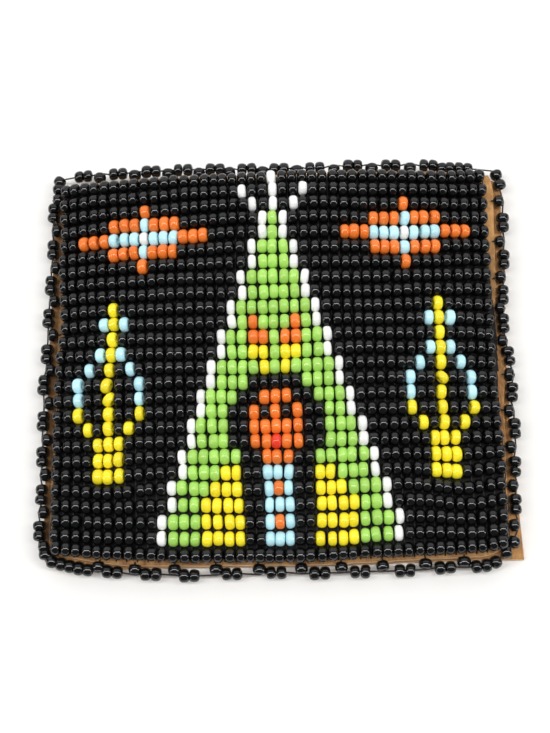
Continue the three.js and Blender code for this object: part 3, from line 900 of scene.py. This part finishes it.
def edging(name, groups, edge, stand=STAND_OFFSET, sewn_through=True):
    """One string of the edging: makes its beads, and returns the path of its thread and its stitches."""
    beads, thread, stitches = [], [], []

    def spot(along, offset, lift=0.0):
        place, out = edge(along)
        return place + out * offset + UP * lift

    def ahead(along):
        step, offset = 0.1, 0.5
        return unit(spot(along + step, offset) - spot(along - step, offset))

    for (places, offset, slipped), following in zip(groups, groups[1:] + [None]):
        offset += draw.normal(0, OFFSET_SPREAD)
        lift = draw.normal(0, LIFT_SPREAD)
        for along in places:
            forward = ahead(along)
            axes = (forward, np.cross(UP, forward), UP)
            axes = turned(axes, draw.normal(0, PAIR_SWING), draw.normal(0, PAIR_LEAN))
            length = EDGE_BEAD_LENGTH * draw.normal(1, EDGE_LENGTH_SPREAD)
            radius = EDGE_BEAD_RADIUS * draw.normal(1, EDGE_RADIUS_SPREAD)
            beads.append((spot(along, offset, lift), axes, length, radius))
        first, last = places[0] - EDGE_BEAD_LENGTH / 2, places[-1] + EDGE_BEAD_LENGTH / 2
        thread += [spot(along, offset, lift) for along in np.linspace(first, last, 2 * len(places) + 1)]
        if following is None:
            break
        next_places, _, next_slipped = following
        along = (places[-1] - slipped + next_places[0] - next_slipped) / 2 + draw.normal(0, STAND_SPREAD)
        out = edge(along)[1]
        axes = (out, np.cross(UP, out), UP)
        axes = turned(axes, draw.normal(0, STAND_SWING), draw.normal(0, STAND_LEAN))
        radius = EDGE_BEAD_RADIUS * draw.normal(1, EDGE_RADIUS_SPREAD)
        beads.append((spot(along, stand, STAND_LIFT), axes, EDGE_BEAD_LENGTH, radius))
        thread.append(spot(along, stand + EDGE_BEAD_LENGTH * THREAD_TURN, STAND_LIFT))
        lean = draw.normal(0, STITCH_LEAN)
        stitches.append([spot(along + lean * (STITCH_MIDDLE - o), o, up) for o, up in STITCH_OVER])
        if sewn_through:
            stitches.append([spot(along - lean * o, o, up) for o, up in STITCH_UNDER])
    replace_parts(beads_piece(f"{name}_beads", beads, "black"), name)
    return thread, stitches


# Places are drawn before the strings are made, first for the two sides, then for the top, then for the foot
left_pairs = pair_middles(LEFT_STITCHES, LEFT_STITCHES * LEFT_PITCH)
right_pairs = pair_middles(RIGHT_STITCHES, RIGHT_STITCHES * RIGHT_PITCH)
left_groups = [group(-foot_corner)]
for middle in left_pairs:
    slack = hump(middle, *LEFT_SLACK)
    left_groups.append(group(middle + hump(middle, *LEFT_SLIP), offset=PAIR_OFFSET + slack))
left_groups.append(group(side_reach - LEFT_TURN, offset=CORNER_OFFSET))
right_groups = [group(RIGHT_TURN - side_reach, offset=CORNER_OFFSET)]
right_groups += [group(middle + hump(middle, *RIGHT_SLIP)) for middle in right_pairs[:-1]]
right_groups.append(group(right_pairs[-1], offset=CORNER_OFFSET))
right_groups.append(group(side_reach + RIGHT_END, spacing=RIGHT_END_SPACING, offset=RIGHT_END_OFFSET))
strings = [edging("edging_left", left_groups, side_edge(-1), LEFT_STAND_OFFSET)]

top_pairs = pair_middles(LIP_STITCHES, foot_length)
top_groups = [group(top_pairs[0] + TOP_START)]
top_groups += [group(middle + hump(middle, *TOP_SLIP)) for middle in top_pairs[1:-1]]
top_groups.append(group(top_pairs[-1] + TOP_END, TOP_END_COUNT, offset=CORNER_OFFSET))
strings.append(edging("edging_top", top_groups, lip_edge, sewn_through=False))
strings.append(edging("edging_right", right_groups, side_edge(1)))

foot_pairs = pair_middles(FOOT_STITCHES, foot_length)
foot_groups = [group(foot_pairs[0] + FOOT_START, FOOT_START_COUNT)]
foot_groups += [group(middle, slipped=hump(middle, *FOOT_SLIP)) for middle in foot_pairs[1:-1]]
foot_groups.append(group(foot_pairs[-1] + FOOT_END, FOOT_END_COUNT, spacing=EDGE_BEAD_LENGTH))
strings.append(edging("edging_bottom", foot_groups, foot_edge, FOOT_STAND_OFFSET))

# One thread runs through the four strings and closes on itself
round_thread = [point for thread, _ in strings for point in thread]
edge_threads = [round_thread + round_thread[:1]]
for _, stitches in strings:
    edge_threads += stitches
threads_piece("edging_threads", edge_threads)


# Floor, light and camera
def add_lamp(name, size, place, power):
    """A flat lamp turned to the middle of the floor."""
    data = bpy.data.lights.new(name, "AREA")
    data.shape = "RECTANGLE"
    data.size, data.size_y = size
    data.energy = power
    lamp = bpy.data.objects.new(name, data)
    aim = (-Vector(place)).to_track_quat("-Z", "Y")
    lamp.matrix_world = Matrix.Translation(place) @ aim.to_matrix().to_4x4()
    bpy.context.scene.collection.objects.link(lamp)


floor_mesh = bpy.data.meshes.new("floor")
floor_corners = [(FLOOR_REACH * x, FLOOR_REACH * y, 0) for x, y in ((-1, -1), (1, -1), (1, 1), (-1, 1))]
floor_mesh.from_pydata(floor_corners, [], [(0, 1, 2, 3)])
floor = bpy.data.objects.new("floor", floor_mesh)
floor_material, _, floor_shader = new_material("pale_floor")
floor_shader.inputs["Base Color"].default_value = FLOOR
floor_shader.inputs["Roughness"].default_value = 0.9
floor_mesh.materials.append(floor_material)
bpy.context.scene.collection.objects.link(floor)

for lamp_name, (lamp_size, lamp_place, lamp_power) in LAMPS.items():
    add_lamp(lamp_name, lamp_size, lamp_place, lamp_power)
world = bpy.data.worlds.new("studio")
world.use_nodes = True
world.node_tree.nodes["Background"].inputs["Color"].default_value = WHITE
world.node_tree.nodes["Background"].inputs["Strength"].default_value = WORLD_STRENGTH
bpy.context.scene.world = world
bpy.context.scene.view_settings.view_transform = "Standard"

camera_data = bpy.data.cameras.new("camera")
camera_data.sensor_fit = "HORIZONTAL"
camera_data.angle = 2 * math.atan(PHOTO_WIDTH / 2 / FOCAL_PIXELS)
camera_data.clip_start = CLIP_START
camera = bpy.data.objects.new("camera", camera_data)
turn = (
    Matrix.Rotation(math.radians(CAMERA_ROLL), 3, "Z")
    @ Matrix.Rotation(math.radians(CAMERA_YAW), 3, "Y")
    @ Matrix.Rotation(math.radians(-CAMERA_TILT), 3, "X")
).transposed()
station = (turn @ Vector((-CAMERA_SIDE, -CAMERA_RISE, CAMERA_DISTANCE)) + Vector(bag_middle)) * MM
camera.matrix_world = Matrix.Translation(station) @ turn.to_4x4()
bpy.context.scene.collection.objects.link(camera)
bpy.context.scene.camera = camera
